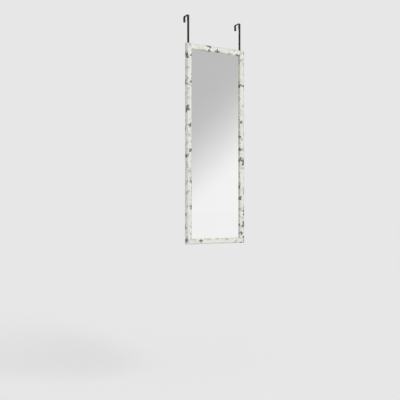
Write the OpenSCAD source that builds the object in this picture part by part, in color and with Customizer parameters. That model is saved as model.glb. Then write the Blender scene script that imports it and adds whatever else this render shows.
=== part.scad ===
// Over-the-door mirror: a slim framed looking glass that hangs from two flat steel straps.
//
// Millimetres, +Z up. The origin lies midway between the two hooks, at the height of the
// door's top edge and in the plane of its front face. The glass faces -Y, +X is to the
// right of someone who looks into it, and the door stands behind it, at +Y.

/* [Frame] */
// Outside width of the frame
frame_w = 360; // [300:1:420]
// Outside height of the frame
frame_h = 1070; // [800:1:1300]
// Width of the moulding, from its outer side to the opening
moulding_w = 30; // [29:0.5:40]
// Thickness of the moulding, from its back to its front face
moulding_t = 20; // [18:0.5:26]
// Radius of the rounded outer front edge
shoulder_r = 7; // [3:0.5:10]
// Radius of the softened front edge round the opening
lip_r = 1.5; // [0.5:0.25:3]
// Size of the chamfer on the outer back edge
back_chamfer = 1; // [0.5:0.25:2]

/* [Corner nails] */
// Length of each arm of a V-nail
nail_arm = 4.5; // [3:0.25:5]
// Thickness of the V-nail's sheet steel
nail_t = 0.6; // [0.4:0.1:1]
// How deep a V-nail reaches into the moulding
nail_h = 7; // [5:0.5:10]
// How far a V-nail is driven below the back
nail_sink = 0.2; // [0.1:0.05:0.5]

/* [Glass and back] */
// How far the rebate reaches in under the moulding's front
rebate_w = 5; // [4:0.5:7]
// Thickness of the mirror glass
glass_t = 3; // [2:0.5:4]
// Thickness of the soft packing sheet between the glass and the board
packing_t = 5; // [3:0.5:6]
// Thickness of the hardboard back
board_t = 3; // [2:0.5:4]
// Room beside the glass, packing and board in the rebate
edge_gap = 1; // [0.5:0.25:1.5]
// How far the board lies below the back of the frame
board_sink = 0.2; // [0.1:0.05:0.5]

/* [Straps] */
// Width of each steel strap
strap_w = 12; // [10:0.5:16]
// Thickness of the strap
strap_t = 1.5; // [1:0.25:2]
// Distance from the side of the frame to the middle of the strap
strap_inset = 19; // [12:0.5:21]
// Length of strap that shows above the frame, at the middle of the height setting
strap_drop = 155; // [120:1:220]
// Inner radius of the strap's bends
bend_r = 4; // [3:0.5:6]
// Thickness of the door that the hooks go over
door_t = 40; // [35:0.5:45]
// Length of the hook's leg behind the door
tip_l = 30; // [26:1:50]
// Full travel of the height setting
travel = 40; // [20:1:60]
// Distance from the top of the frame to the upper strap screw
first_screw = 45; // [40:1:70]
// Distance between the two screws of a strap
screw_pitch = 40; // [25:1:60]
// Play between a screw and the side of the strap's slot
slot_play = 0.25; // [0.15:0.05:0.5]
// Play that is left at each end of the slot when the travel is used up
slot_end_play = 0.5; // [0.25:0.25:1]
// Steel left below the slot
slot_land = 8; // [6:0.5:12]

/* [Pads and bumpers] */
// Thickness of the foam pad between a strap and the front of the door
front_pad_t = 3; // [3:0.25:5]
// Height of the front pad
front_pad_h = 30; // [20:1:60]
// Thickness of the foam pad inside a hook's tip
tip_pad_t = 2; // [1:0.25:3]
// Height of the tip pad
tip_pad_h = 18; // [10:1:19]
// Diameter of a rubber bumper
bumper_d = 12; // [8:0.5:16]
// Rounding of the bumper's rear edge
bumper_round = 1.5; // [0.5:0.25:2]
// Distance from the side of the frame to the middle of a bumper
bumper_inset = 13; // [10:0.5:16]
// Distance from the bottom of the frame to the middle of a bumper
bumper_rise = 45; // [35:1:60]

/* [Strap screws] */
// Diameter of the strap screws
strap_screw_d = 3.5; // [3:0.25:4]
// Length of the strap screws below the head
strap_screw_l = 14; // [10:0.5:16]
// Diameter of the head of a strap screw
strap_head_d = 7; // [6:0.25:8]
// Height of the head of a strap screw
strap_head_h = 1.9; // [1.5:0.1:2]
// Outside diameter of the washers
washer_d = 10; // [9:0.5:12]
// Thickness of the washers
washer_t = 0.6; // [0.5:0.1:0.8]
// Play between a washer's hole and its screw, on the radius
washer_play = 0.15; // [0.1:0.05:0.3]

/* [Turn buttons] */
// Thickness of a turn button
button_t = 1.2; // [0.8:0.1:1.5]
// Width of a turn button
button_w = 10; // [8:0.5:12]
// Distance from a turn button's screw to its tip
button_reach = 21; // [18:0.5:26]
// Distance from the side of the frame to a turn button's screw
button_inset = 15; // [11:0.5:17]
// Clear distance between a strap and the nearest turn button when it is swung out
button_strap_gap = 8; // [4:1:20]
// Diameter of the turn buttons' screws
button_screw_d = 3; // [2.5:0.25:3.5]
// Length of the turn buttons' screws below the head
button_screw_l = 10; // [8:0.5:14]
// Diameter of the head of a turn button's screw
button_head_d = 6; // [5:0.25:7]
// Height of the head of a turn button's screw
button_head_h = 1.7; // [1.4:0.1:2]
// Running clearance of a turn button on its screw, on the radius
button_play = 0.08; // [0.04:0.01:0.1]
// Height of the raised rib that stiffens a turn button
rib_h = 0.5; // [0.3:0.1:0.8]
// Width of the rib
rib_w = 3; // [2:0.5:4]

/* [Hidden] */
$fn = 64;

LEFT = -1;
RIGHT = 1;
CREAM = "ivory";
STEEL_BLACK = [0.12, 0.12, 0.13];
FOAM_BLACK = [0.2, 0.2, 0.21];
ZINC = "silver";

// Planes from the door forwards
back_y = -front_pad_t - strap_t;            // back of the frame and front of the straps
stack_d = glass_t + packing_t + board_t;    // what the rebate holds
rebate_d = stack_d + board_sink;            // depth of the rebate, from the back
glass_y = back_y - rebate_d;                // front of the glass, on the lip

// Heights, and places across
top_z = -strap_drop;                        // top of the frame
bottom_z = top_z - frame_h;                 // bottom of the frame
middle_z = (top_z + bottom_z) / 2;
strap_x = frame_w / 2 - strap_inset;
land_w = moulding_w - rebate_w;             // flat back of the moulding beside the rebate
stack_w = frame_w - 2 * land_w - 2 * edge_gap;
stack_h = frame_h - 2 * land_w - 2 * edge_gap;
stack_low_z = bottom_z + land_w;            // the glass, packing and board stand on the rebate

// The strap's slot runs past both screws by half the travel
slot_w = strap_screw_d + 2 * slot_play;
slot_over = travel / 2 + slot_end_play;
slot_top_z = top_z - first_screw + slot_over;
slot_low_z = top_z - first_screw - screw_pitch - slot_over;
strap_low_z = slot_low_z - slot_w / 2 - slot_land;
strap_screw_spots = [for (k = [0, 1]) top_z - first_screw - k * screw_pitch];

// Turn buttons: [x, z, angle], where the angle turns a tip that points at +X about the Y axis
button_end = (top_z - strap_low_z) + travel / 2 + button_strap_gap + button_reach;
button_x = frame_w / 2 - button_inset;
stile_button_zs = [top_z - button_end, middle_z, bottom_z + button_end];
left_buttons = [for (z = stile_button_zs) [-button_x, z, 0]];
right_buttons = [for (z = stile_button_zs) [button_x, z, 180]];
top_buttons = [[0, top_z - button_inset, 90]];
bottom_buttons = [[0, bottom_z + button_inset, -90]];

NAILS = 2;              // V-nails at each corner, evenly spread across the flat back
PILOT_PLAY = 0.05;      // a screw's hole is larger than the screw by this, on the radius
POINT_SHARE = 0.3;      // share of a screw's length that its point takes
POINT_D = 0.4;          // diameter of the blunt end of a screw's point
DOME = 0.45;            // share of a head's height that is domed
RECESS_W = 0.9;         // width of a slot of the cross recess
RECESS_SHARE = 0.55;    // length of the recess against the head's diameter
RECESS_DEPTH = 0.6;     // depth of the recess against the head's height
RIB_GAP = 0.4;          // gap between a turn button's rib and the head of its screw
EPS = 0.5;              // how far cutting bodies run past what they cut

// ---- Frame ----------------------------------------------------------------------------

// What a rounding takes off a corner at the origin whose sides run along -x and -y
module corner_cut(r) {
    translate([-r, -r])
        difference() {
            square(r + EPS);
            circle(r);
        }
}

// Section of the moulding: x runs in from the outer side, y runs from the back to the front
module moulding_section() {
    difference() {
        square([moulding_w, moulding_t]);
        translate([0, moulding_t])
            mirror([1, 0])
                corner_cut(shoulder_r);
        translate([moulding_w, moulding_t])
            corner_cut(lip_r);
        polygon([[-EPS, -EPS], [back_chamfer + EPS, -EPS], [-EPS, back_chamfer + EPS]]);
        translate([land_w, -EPS])
            square([rebate_w + EPS, rebate_d + EPS]);
    }
}

// A length of moulding with mitred ends. It lies along X, its outer side is down and in the
// plane z = -span / 2, and its back is in the plane y = 0.
module moulding(len, span) {
    translate([0, 0, -span / 2])
        intersection() {
            rotate([180, 0, 0])
                rotate([0, 90, 0])
                    linear_extrude(len, center = true)
                        moulding_section();
            translate([0, EPS, 0])
                rotate([90, 0, 0])
                    linear_extrude(moulding_t + 2 * EPS)
                        polygon([[-len / 2, 0], [len / 2, 0],
                                 [len / 2 - moulding_w, moulding_w],
                                 [moulding_w - len / 2, moulding_w]]);
        }
}

// Puts something made round the middle of the frame's back in its place
module on_frame() {
    translate([0, back_y, middle_z])
        children();
}

// A V-nail's shape between two depths below the back, with its corner on the mitre. Both of
// its arms run in from the frame's corner.
module nail(from, to) {
    translate([0, -from, 0])
        rotate([90, 0, 0])
            linear_extrude(to - from)
                polygon([[0, 0], [nail_arm, 0], [nail_arm, nail_t], [nail_t, nail_t],
                         [nail_t, nail_arm], [0, nail_arm]]);
}

// The V-nails of all four corners
module nails(from, to) {
    for (sx = [0, 1], sz = [0, 1], k = [1:NAILS]) {
        inset = k * land_w / (NAILS + 1);
        mirror([sx, 0, 0])
            mirror([0, 0, sz])
                translate([inset - frame_w / 2, 0, inset - frame_h / 2])
                    nail(from, to);
    }
}

// Holes for the shanks of screws in the frame's back; each spot starts with [x, z]
module pilot_holes(spots, d, depth) {
    for (s = spots)
        translate([s[0], back_y - depth, s[1]])
            rotate([-90, 0, 0])
                cylinder(h = depth + EPS, d = d + 2 * PILOT_PLAY);
}

module rail_with_holes(turn, len, span, buttons) {
    difference() {
        on_frame()
            rotate([0, turn, 0])
                moulding(len, span);
        on_frame()
            nails(-EPS, nail_sink + nail_h);
        pilot_holes(buttons, button_screw_d, button_screw_l);
    }
}

module stile_with_holes(side, buttons) {
    difference() {
        rail_with_holes(-90 * side, frame_h, frame_w, buttons);
        pilot_holes([for (z = strap_screw_spots) [side * strap_x, z]], strap_screw_d,
                    strap_screw_l);
    }
}

module top_rail() {
    color(CREAM)
        rail_with_holes(180, frame_w, frame_h, top_buttons);
}

module bottom_rail() {
    color(CREAM)
        rail_with_holes(0, frame_w, frame_h, bottom_buttons);
}

module left_stile() {
    color(CREAM)
        stile_with_holes(LEFT, left_buttons);
}

module right_stile() {
    color(CREAM)
        stile_with_holes(RIGHT, right_buttons);
}

module corner_nails() {
    color(ZINC)
        on_frame()
            nails(nail_sink, nail_sink + nail_h);
}

// ---- Glass and back -------------------------------------------------------------------

// A sheet that stands in the rebate, with its front at the given depth behind the lip
module stacked_sheet(behind, thickness) {
    translate([-stack_w / 2, glass_y + behind, stack_low_z])
        cube([stack_w, thickness, stack_h]);
}

module mirror_glass() {
    color([0.78, 0.8, 0.8])
        stacked_sheet(0, glass_t);
}

module packing_sheet() {
    color("tan")
        stacked_sheet(glass_t, packing_t);
}

module backing_board() {
    color("saddlebrown")
        stacked_sheet(glass_t + packing_t, board_t);
}

// ---- Straps ---------------------------------------------------------------------------

// A quarter of a bend, round its centre; sy is -1 for the front bend and 1 for the rear one
module bend_section(sy) {
    reach = bend_r + strap_t;
    intersection() {
        difference() {
            circle(reach);
            circle(bend_r);
        }
        translate([sy < 0 ? -reach : 0, 0])
            square(reach);
    }
}

// Side view of the hook over the door: x runs back from the door's front, y runs up
module hook_section() {
    front_x = -front_pad_t;
    rear_x = door_t + tip_pad_t;
    translate([front_x + bend_r, 0])
        square([rear_x - front_x - 2 * bend_r, strap_t]);
    translate([front_x + bend_r, -bend_r])
        bend_section(-1);
    translate([rear_x - bend_r, -bend_r])
        bend_section(1);
    translate([rear_x, -tip_l])
        square([strap_t, tip_l - bend_r]);
}

// Front view of the leg in front of the door: x across, y up
module leg_outline() {
    difference() {
        union() {
            translate([-strap_w / 2, strap_low_z + strap_w / 2])
                square([strap_w, -bend_r - strap_low_z - strap_w / 2]);
            translate([0, strap_low_z + strap_w / 2])
                circle(strap_w / 2);
        }
        translate([-slot_w / 2, slot_low_z])
            square([slot_w, slot_top_z - slot_low_z]);
        for (z = [slot_low_z, slot_top_z])
            translate([0, z])
                circle(slot_w / 2);
    }
}

module strap(side) {
    color(STEEL_BLACK)
        translate([side * strap_x, 0, 0]) {
            rotate([90, 0, 90])
                linear_extrude(strap_w, center = true)
                    hook_section();
            translate([0, -front_pad_t, 0])
                rotate([90, 0, 0])
                    linear_extrude(strap_t)
                        leg_outline();
        }
}

// A foam pad as wide as the strap, with its front face at y
module pad(side, y, thickness, low_z, height) {
    color(FOAM_BLACK)
        translate([side * strap_x - strap_w / 2, y, low_z])
            cube([strap_w, thickness, height]);
}

module front_pad(side) {
    pad(side, -front_pad_t, front_pad_t, -bend_r - front_pad_h, front_pad_h);
}

module tip_pad(side) {
    pad(side, door_t, tip_pad_t, -tip_l, tip_pad_h);
}

module left_strap() {
    strap(LEFT);
}

module left_front_pad() {
    front_pad(LEFT);
}

module left_tip_pad() {
    tip_pad(LEFT);
}

module right_strap() {
    strap(RIGHT);
}

module right_front_pad() {
    front_pad(RIGHT);
}

module right_tip_pad() {
    tip_pad(RIGHT);
}

// ---- Screws, washers and bumpers ------------------------------------------------------

// A pan-head screw along Y: the head's underside is at y = 0 and the point is towards -Y
module pan_screw(d, len, head_d, head_h) {
    dome_h = DOME * head_h;
    dome_r = (pow(head_d / 2, 2) + pow(dome_h, 2)) / (2 * dome_h);
    point_l = POINT_SHARE * len;
    rotate([-90, 0, 0]) {
        difference() {
            rotate_extrude()
                intersection() {
                    square([head_d / 2, head_h]);
                    translate([0, head_h - dome_r])
                        circle(dome_r);
                }
            for (turn = [0, 90])
                rotate([0, 0, turn])
                    translate([-RECESS_SHARE * head_d / 2, -RECESS_W / 2,
                               head_h * (1 - RECESS_DEPTH)])
                        cube([RECESS_SHARE * head_d, RECESS_W, head_h]);
        }
        translate([0, 0, point_l - len])
            cylinder(h = len - point_l, d = d);
        translate([0, 0, -len])
            cylinder(h = point_l, d1 = POINT_D, d2 = d);
    }
}

module strap_screws() {
    color(ZINC)
        for (side = [LEFT, RIGHT], z = strap_screw_spots)
            translate([side * strap_x, back_y + strap_t + washer_t, z])
                pan_screw(strap_screw_d, strap_screw_l, strap_head_d, strap_head_h);
}

module strap_washers() {
    color(ZINC)
        for (side = [LEFT, RIGHT], z = strap_screw_spots)
            translate([side * strap_x, back_y + strap_t, z])
                rotate([-90, 0, 0])
                    difference() {
                        cylinder(h = washer_t, d = washer_d);
                        translate([0, 0, -EPS])
                            cylinder(h = washer_t + 2 * EPS,
                                     d = strap_screw_d + 2 * washer_play);
                    }
}

// A round rubber foot from the frame's back to the plane of the door
module bumper(side) {
    height = -back_y;
    color(FOAM_BLACK)
        translate([side * (frame_w / 2 - bumper_inset), back_y, bottom_z + bumper_rise])
            rotate([-90, 0, 0])
                rotate_extrude() {
                    square([bumper_d / 2, height - bumper_round]);
                    square([bumper_d / 2 - bumper_round, height]);
                    intersection() {
                        translate([bumper_d / 2 - bumper_round, height - bumper_round])
                            circle(bumper_round);
                        square([bumper_d, height]);
                    }
                }
}

module left_bumper() {
    bumper(LEFT);
}

module right_bumper() {
    bumper(RIGHT);
}

// ---- Turn buttons ---------------------------------------------------------------------

// Outline of a turn button with its screw hole at the origin and its tip at +x
module button_outline() {
    tip_x = button_reach - button_w / 2;
    difference() {
        union() {
            translate([0, -button_w / 2])
                square([tip_x, button_w]);
            circle(button_w / 2);
            translate([tip_x, 0])
                circle(button_w / 2);
        }
        circle(button_screw_d / 2 + button_play);
    }
}

// A turn button at [x, z, angle], lying on the frame's back
module turn_button(spot) {
    rib_x = button_head_d / 2 + rib_w / 2 + RIB_GAP;
    rib_l = button_reach - button_w / 2 - rib_x;
    color(ZINC)
        translate([spot[0], back_y, spot[1]])
            rotate([0, spot[2], 0])
                rotate([-90, 0, 0]) {
                    linear_extrude(button_t)
                        button_outline();
                    translate([rib_x, 0, button_t]) {
                        translate([0, -rib_w / 2, 0])
                            cube([rib_l, rib_w, rib_h]);
                        cylinder(h = rib_h, d = rib_w);
                        translate([rib_l, 0, 0])
                            cylinder(h = rib_h, d = rib_w);
                    }
                }
}

module left_upper_button() {
    turn_button(left_buttons[0]);
}

module left_middle_button() {
    turn_button(left_buttons[1]);
}

module left_lower_button() {
    turn_button(left_buttons[2]);
}

module right_upper_button() {
    turn_button(right_buttons[0]);
}

module right_middle_button() {
    turn_button(right_buttons[1]);
}

module right_lower_button() {
    turn_button(right_buttons[2]);
}

module top_button() {
    turn_button(top_buttons[0]);
}

module bottom_button() {
    turn_button(bottom_buttons[0]);
}

module button_screws() {
    color(ZINC)
        for (s = concat(left_buttons, right_buttons, top_buttons, bottom_buttons))
            translate([s[0], back_y + button_t, s[1]])
                pan_screw(button_screw_d, button_screw_l, button_head_d, button_head_h);
}

// ---- The mirror -----------------------------------------------------------------------

top_rail();
bottom_rail();
left_stile();
right_stile();
corner_nails();
mirror_glass();
packing_sheet();
backing_board();
left_strap();
left_front_pad();
left_tip_pad();
right_strap();
right_front_pad();
right_tip_pad();
strap_washers();
strap_screws();
left_bumper();
right_bumper();
left_upper_button();
left_middle_button();
left_lower_button();
right_upper_button();
right_middle_button();
right_lower_button();
top_button();
bottom_button();
button_screws();
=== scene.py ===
"""Looks of an over-the-door mirror: a slim looking glass in a printed moulding on two strap hooks.

Everything is in metres in the mirror's own frame. The origin lies midway between the two hooks, at
the top edge of the door and in the plane of the door's front face. The glass faces -Y, +Z is up and
+X is to the right of someone who looks into the mirror.

NEAR is how close two places have to be to count as one, and PAST is how far a cutting shape reaches
beyond what it cuts. SQUARE is the part of a face's direction from which the face counts as facing
that way. WIDE and CLOSE are the parts of a noise's range that a finish makes use of.
"""

import logging
import math
from collections.abc import Callable, Iterator, Sequence
from contextlib import contextmanager
from dataclasses import dataclass, field
from enum import Enum
from typing import Any

import bmesh
import bpy
from mathutils import Matrix, Vector

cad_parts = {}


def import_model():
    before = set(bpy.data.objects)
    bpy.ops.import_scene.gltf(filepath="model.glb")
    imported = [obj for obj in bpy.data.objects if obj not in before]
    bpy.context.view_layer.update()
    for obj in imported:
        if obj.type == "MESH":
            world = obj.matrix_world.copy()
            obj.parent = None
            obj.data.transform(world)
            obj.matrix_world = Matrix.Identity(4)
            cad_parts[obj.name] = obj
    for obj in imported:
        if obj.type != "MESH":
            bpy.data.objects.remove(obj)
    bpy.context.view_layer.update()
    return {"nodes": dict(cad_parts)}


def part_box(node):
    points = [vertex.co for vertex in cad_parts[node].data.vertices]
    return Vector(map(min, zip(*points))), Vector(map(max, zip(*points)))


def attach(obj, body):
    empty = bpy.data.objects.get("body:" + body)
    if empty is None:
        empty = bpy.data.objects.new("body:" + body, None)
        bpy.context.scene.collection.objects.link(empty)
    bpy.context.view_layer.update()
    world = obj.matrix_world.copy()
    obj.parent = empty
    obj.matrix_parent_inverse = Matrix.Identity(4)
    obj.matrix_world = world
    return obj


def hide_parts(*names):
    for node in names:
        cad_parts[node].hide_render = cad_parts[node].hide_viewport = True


MM = 0.001
NEAR = 0.01 * MM
PAST = 1 * MM
SQUARE = 0.9
WRAP_UV = "FoilWrap"
FRAME_BODY = "frame"

Piece = bpy.types.Object
Node = bpy.types.Node
Socket = bpy.types.NodeSocket
Part = bmesh.types.BMEdge | bmesh.types.BMFace
Test = Callable[[Part], bool]
Colour = tuple[float, float, float]
Place = tuple[float, float, float]
Spot = tuple[float, float]
Values = Sequence[Any] | dict[str | int, Any]

WHITE: Colour = (1.0, 1.0, 1.0)
WIDE: Spot = (0.3, 0.7)
CLOSE: Spot = (0.35, 0.65)

log = logging.getLogger("mirror")


# ---- Names of the mirror's parts --------------------------------------------------------------


class Side(Enum):
    """The two sides of the mirror, seen from its front."""

    LEFT = -1
    RIGHT = 1

    @property
    def word(self) -> str:
        """The side's name as the nodes spell it."""
        return self.name.lower()


class Copied(Enum):
    """Parts that are turned copies of a pattern, each with its node and its turn about Y."""

    @property
    def node(self) -> str:
        """The part's node."""
        return self.value[0]

    @property
    def turn(self) -> float:
        """Its turn about Y, in degrees."""
        return self.value[1]


class Length(Copied):
    """The four lengths of moulding, each with where on the printed roll it was cut, in metres."""

    BOTTOM = ("bottom_rail", 0.0, 15.31)
    TOP = ("top_rail", 180.0, 60.93)
    LEFT = ("left_stile", 90.0, 63.05)
    RIGHT = ("right_stile", -90.0, 51.12)

    @property
    def roll(self) -> float:
        """Where on the printed roll it starts."""
        return self.value[2]

    @property
    def upright(self) -> bool:
        """Whether it is a stile."""
        return self in (Length.LEFT, Length.RIGHT)


class Button(Copied):
    """The eight turn buttons, whose nodes give their bodies their names; the tips point inwards."""

    LEFT_UPPER = ("left_upper_button", 0.0)
    LEFT_MIDDLE = ("left_middle_button", 0.0)
    LEFT_LOWER = ("left_lower_button", 0.0)
    RIGHT_UPPER = ("right_upper_button", 180.0)
    RIGHT_MIDDLE = ("right_middle_button", 180.0)
    RIGHT_LOWER = ("right_lower_button", 180.0)
    TOP = ("top_button", 90.0)
    BOTTOM = ("bottom_button", -90.0)

    @property
    def hole(self) -> Spot:
        """The place of its screw: the centre of its round end, away from the tip.

        Returns:
            The place's x and z.
        """
        low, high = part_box(self.node)
        wide, long = sorted((high.x - low.x, high.z - low.z))
        reach = (long - wide) / 2
        angle = math.radians(self.turn)
        centre = (low + high) / 2
        return centre.x - reach * math.cos(angle), centre.z + reach * math.sin(angle)


class PadPlace(Enum):
    """Where in a hook a foam pad lies."""

    FRONT = "front"
    TIP = "tip"


def strap_screws() -> list[Spot]:
    """Finds the four strap screws by the washers under their heads.

    Returns:
        The x and z of each.
    """
    low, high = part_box("strap_washers")
    strap_low, strap_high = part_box("left_strap")
    strap_x = abs(strap_low.x + strap_high.x) / 2
    radius = high.x - strap_x
    return [(side.value * strap_x, z) for side in Side for z in (low.z + radius, high.z - radius)]


# ---- Working on meshes ------------------------------------------------------------------------


class Pick(Enum):
    """What a selection in edit mode is made of."""

    EDGE = "EDGE"
    FACE = "FACE"


class Combine(Enum):
    """What a shape does to the piece that it is combined with."""

    CUT = "DIFFERENCE"
    ADD = "UNION"


def take(piece: Piece) -> None:
    """Makes one object the active one and the only one that is selected.

    Args:
        piece: The object to work on.
    """
    for other in bpy.context.selected_objects:
        other.select_set(False)
    piece.select_set(True)
    bpy.context.view_layer.objects.active = piece


@contextmanager
def edit_mode(piece: Piece) -> Iterator[None]:
    """Opens an object in edit mode with its whole mesh selected, and leaves edit mode at the end.

    Args:
        piece: The mesh object to edit.

    Yields:
        Nothing; the mesh is open inside the with block.
    """
    take(piece)
    bpy.ops.object.mode_set(mode="EDIT")
    bpy.ops.mesh.select_all(action="SELECT")
    try:
        yield
    finally:
        bpy.ops.object.mode_set(mode="OBJECT")


def lies_at(**place: float) -> Test:
    """Makes a test for edges or faces whose corners all have the given x, y or z, in metres."""
    return lambda part: all(
        abs(getattr(corner.co, axis) - at) < NEAR
        for corner in part.verts
        for axis, at in place.items()
    )


def middle(part: Part) -> Vector:
    """The mean of the corners of an edge or a face."""
    return sum((corner.co for corner in part.verts), Vector()) / len(part.verts)


def pick(piece: Piece, kind: Pick, test: Test) -> None:
    """Selects the edges or faces of a mesh in edit mode that pass a test.

    Args:
        piece: The object that is in edit mode.
        kind: Whether edges or faces are selected.
        test: Says whether an edge or a face belongs to the selection.
    """
    bpy.ops.mesh.select_mode(type=kind.value)
    bpy.ops.mesh.select_all(action="DESELECT")
    mesh = bmesh.from_edit_mesh(piece.data)
    for part in mesh.edges if kind is Pick.EDGE else mesh.faces:
        if test(part):
            part.select_set(True)
    mesh.select_flush_mode()
    bmesh.update_edit_mesh(piece.data)


def settle(piece: Piece) -> None:
    """Moves an object's place, turn and scale into its mesh."""
    take(piece)
    bpy.ops.object.transform_apply(location=True, rotation=True, scale=True)


def add_box(name: str, low: Sequence[float], high: Sequence[float]) -> Piece:
    """Adds a box between two corners.

    Args:
        name: The name of the new object.
        low: Its lowest corner.
        high: Its highest corner.

    Returns:
        The box, with its place in its mesh.
    """
    centre = [(a + b) / 2 for a, b in zip(low, high)]
    bpy.ops.mesh.primitive_cube_add(size=1.0, location=centre)
    box = bpy.context.object
    box.name = name
    box.scale = [b - a for a, b in zip(low, high)]
    settle(box)
    return box


def add_rod(
    name: str, start: Sequence[float], radius: float, long: float, sides: int = 64
) -> Piece:
    """Adds a round rod or disc whose axis lies along Y.

    Args:
        name: The name of the new object.
        start: The centre of its end at the lowest y.
        radius: Its radius.
        long: Its length along Y.
        sides: The number of its sides.

    Returns:
        The rod, with its place in its mesh.
    """
    bpy.ops.mesh.primitive_cylinder_add(
        vertices=sides,
        radius=radius,
        depth=long,
        location=(start[0], start[1] + long / 2, start[2]),
        rotation=(math.radians(90), 0.0, 0.0),
    )
    rod = bpy.context.object
    rod.name = name
    settle(rod)
    return rod


def bevel_edges(piece: Piece, test: Test, width: float, segments: int) -> None:
    """Rounds or chamfers the edges of a piece that pass a test.

    Args:
        piece: The object to shape.
        test: Says which edges are rounded.
        width: How far the rounding reaches from the edge.
        segments: How many strips it has; one strip is a chamfer.
    """
    with edit_mode(piece):
        pick(piece, Pick.EDGE, test)
        bpy.ops.mesh.bevel(offset=width, segments=segments, affect="EDGES")


def round_corners(
    piece: Piece, xs: Spot, zs: Sequence[float], radius: float, segments: int
) -> None:
    """Rounds the edges of a flat piece that run along Y.

    Args:
        piece: The object to shape.
        xs: The x of its left and of its right side.
        zs: The z of each end that is rounded.
        radius: The radius of the rounding.
        segments: How many strips each rounding has.
    """
    for x in xs:
        for z in zs:
            bevel_edges(piece, lies_at(x=x, z=z), radius, segments)


def push_faces(piece: Piece, test: Test, step: Place) -> None:
    """Extrudes the faces of a piece that pass a test.

    Args:
        piece: The object to shape.
        test: Says which faces are extruded.
        step: How far they move, in metres along X, Y and Z.
    """
    with edit_mode(piece):
        pick(piece, Pick.FACE, test)
        bpy.ops.mesh.extrude_region_move(TRANSFORM_OT_translate={"value": step})


def slice_at(piece: Piece, point: Place, normal: Place, drop: bool = False) -> None:
    """Cuts a piece along a plane; to drop the part behind it also closes the cut."""
    with edit_mode(piece):
        bpy.ops.mesh.bisect(plane_co=point, plane_no=normal, clear_inner=drop, use_fill=drop)


def apply_modifier(piece: Piece, kind: str, **settings: Any) -> None:
    """Adds a modifier to a piece and applies it.

    Args:
        piece: The object to change.
        kind: The modifier's type.
        **settings: The modifier's settings.
    """
    take(piece)
    modifier = piece.modifiers.new(kind.title(), kind)
    for setting, value in settings.items():
        setattr(modifier, setting, value)
    bpy.ops.object.modifier_apply(modifier=modifier.name)


def shade(piece: Piece, angle: float = 35.0) -> None:
    """Shades a piece smooth except at edges that are sharper than an angle in degrees."""
    take(piece)
    bpy.ops.object.shade_smooth_by_angle(angle=math.radians(angle))


def soften(piece: Piece, width: float, segments: int = 2, angle: float = 40.0) -> None:
    """Rounds every edge of a piece that is sharper than an angle, and shades the piece smooth.

    Args:
        piece: The object to soften.
        width: The rounding's width.
        segments: The number of strips in the rounding.
        angle: The angle in degrees from which an edge counts as sharp.
    """
    rule = {"limit_method": "ANGLE", "angle_limit": math.radians(angle)}
    apply_modifier(piece, "BEVEL", width=width, segments=segments, **rule)
    shade(piece)


def tidy(piece: Piece) -> None:
    """Merges a mesh's doubled corners and turns its faces outwards.

    Args:
        piece: The object to tidy.
    """
    with edit_mode(piece):
        bpy.ops.mesh.remove_doubles(threshold=2 * NEAR)
        bpy.ops.mesh.normals_make_consistent(inside=False)


def combine(piece: Piece, tool: Piece, how: Combine = Combine.CUT) -> None:
    """Cuts a shape out of a piece or adds it on, and removes the shape."""
    apply_modifier(piece, "BOOLEAN", operation=how.value, solver="EXACT", object=tool)
    bpy.data.objects.remove(tool)


def joined(pieces: Sequence[Piece], name: str) -> Piece:
    """Joins several objects into one.

    Args:
        pieces: The objects.
        name: The name of the joined object.

    Returns:
        The joined object.
    """
    take(pieces[0])
    for piece in pieces:
        piece.select_set(True)
    bpy.ops.object.join()
    whole = bpy.context.object
    whole.name = name
    return whole


def copied(piece: Piece, name: str) -> Piece:
    """Copies a piece with a mesh of its own.

    Args:
        piece: The object to copy.
        name: The copy's name.

    Returns:
        The copy, in the piece's place.
    """
    twin = piece.copy()
    twin.data = piece.data.copy()
    twin.name = name
    bpy.context.collection.objects.link(twin)
    return twin


def put(piece: Piece, place: Sequence[float], turn: float = 0.0) -> Piece:
    """Turns a piece that was modelled at the origin about Y and moves it to its place.

    Args:
        piece: The object, whose mesh lies round the origin.
        place: Where its origin goes.
        turn: The angle about the Y axis, in degrees.

    Returns:
        The same object, with its place in its mesh.
    """
    piece.rotation_euler = (0.0, math.radians(turn), 0.0)
    piece.location = place
    settle(piece)
    return piece


def mount(piece: Piece, node: str, body: str) -> None:
    """Lets a piece stand for a node and move with the node's body.

    Args:
        piece: The finished object.
        node: The node that it replaces.
        body: The body that it moves with.
    """
    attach(piece, body)
    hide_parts(node)
    log.info("%s: %d faces, moves with %s", piece.name, len(piece.data.polygons), body)


# ---- Building materials -----------------------------------------------------------------------


@dataclass(frozen=True)
class Signal:
    """A number that the nodes give at each point, with arithmetic that adds maths nodes.

    Attributes:
        graph: The node graph that the number belongs to.
        socket: The output that gives it.
    """

    graph: "Graph"
    socket: Socket

    def __add__(self, other: "Number") -> "Signal":
        """This number plus another."""
        return self.graph.math("ADD", self, other)

    def __sub__(self, other: "Number") -> "Signal":
        """This number less another."""
        return self.graph.math("SUBTRACT", self, other)

    def __rsub__(self, other: float) -> "Signal":
        """A plain number less this one."""
        return self.graph.math("SUBTRACT", other, self)

    def __mul__(self, other: "Number") -> "Signal":
        """This number times another."""
        return self.graph.math("MULTIPLY", self, other)

    def __truediv__(self, other: "Number") -> "Signal":
        """This number divided by another."""
        return self.graph.math("DIVIDE", self, other)

    def __abs__(self) -> "Signal":
        """This number without its sign."""
        return self.graph.math("ABSOLUTE", self)

    def above(self, limit: float) -> "Signal":
        """1 where this number is above a limit, and 0 elsewhere."""
        return self.graph.math("GREATER_THAN", self, limit)

    def below(self, limit: float) -> "Signal":
        """1 where this number is below a limit, and 0 elsewhere."""
        return self.graph.math("LESS_THAN", self, limit)

    def or_more(self, other: "Number") -> "Signal":
        """The larger of this number and another."""
        return self.graph.math("MAXIMUM", self, other)


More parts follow.
